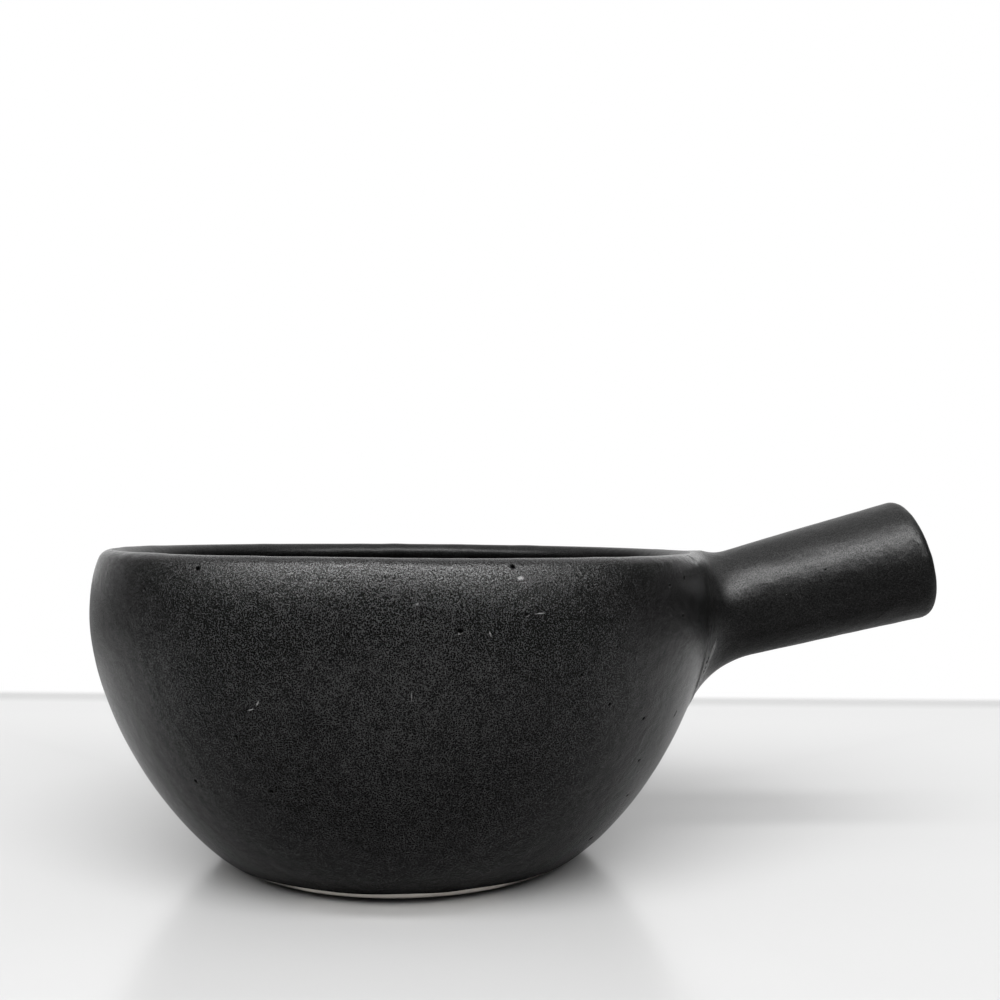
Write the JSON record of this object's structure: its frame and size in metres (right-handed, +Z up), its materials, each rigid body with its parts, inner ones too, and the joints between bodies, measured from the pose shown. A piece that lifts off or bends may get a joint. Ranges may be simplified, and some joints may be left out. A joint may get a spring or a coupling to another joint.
{
  "type": "single-handle donabe",
  "caption": "Round-bellied stoneware cooking bowl with a rounded lip, bare turned foot, matt black glaze and a hollow upswept side handle luted on under the rim.",
  "frame": {"origin": "on the table, under the bowl's axis, at the centre of the ring it stands on", "axes": "+Z up along the bowl's axis, +X out along the handle, +Y to the left when looking along the handle"},
  "size_m": [0.2597, 0.19, 0.1099],
  "materials": {
    "stoneware_clay": "bare fired stoneware, matt and fine-grained",
    "black_glaze": "matt black glaze with a soft sheen, fine grain and pinholes"
  },
  "bodies": {
    "root": {"bowl_body": "stoneware_clay", "handle_tube": "stoneware_clay", "joint_coil": "stoneware_clay", "outer_glaze": "black_glaze", "inner_glaze": "black_glaze", "handle_glaze": "black_glaze", "joint_glaze": "black_glaze"}
  },
  "joints": []
}
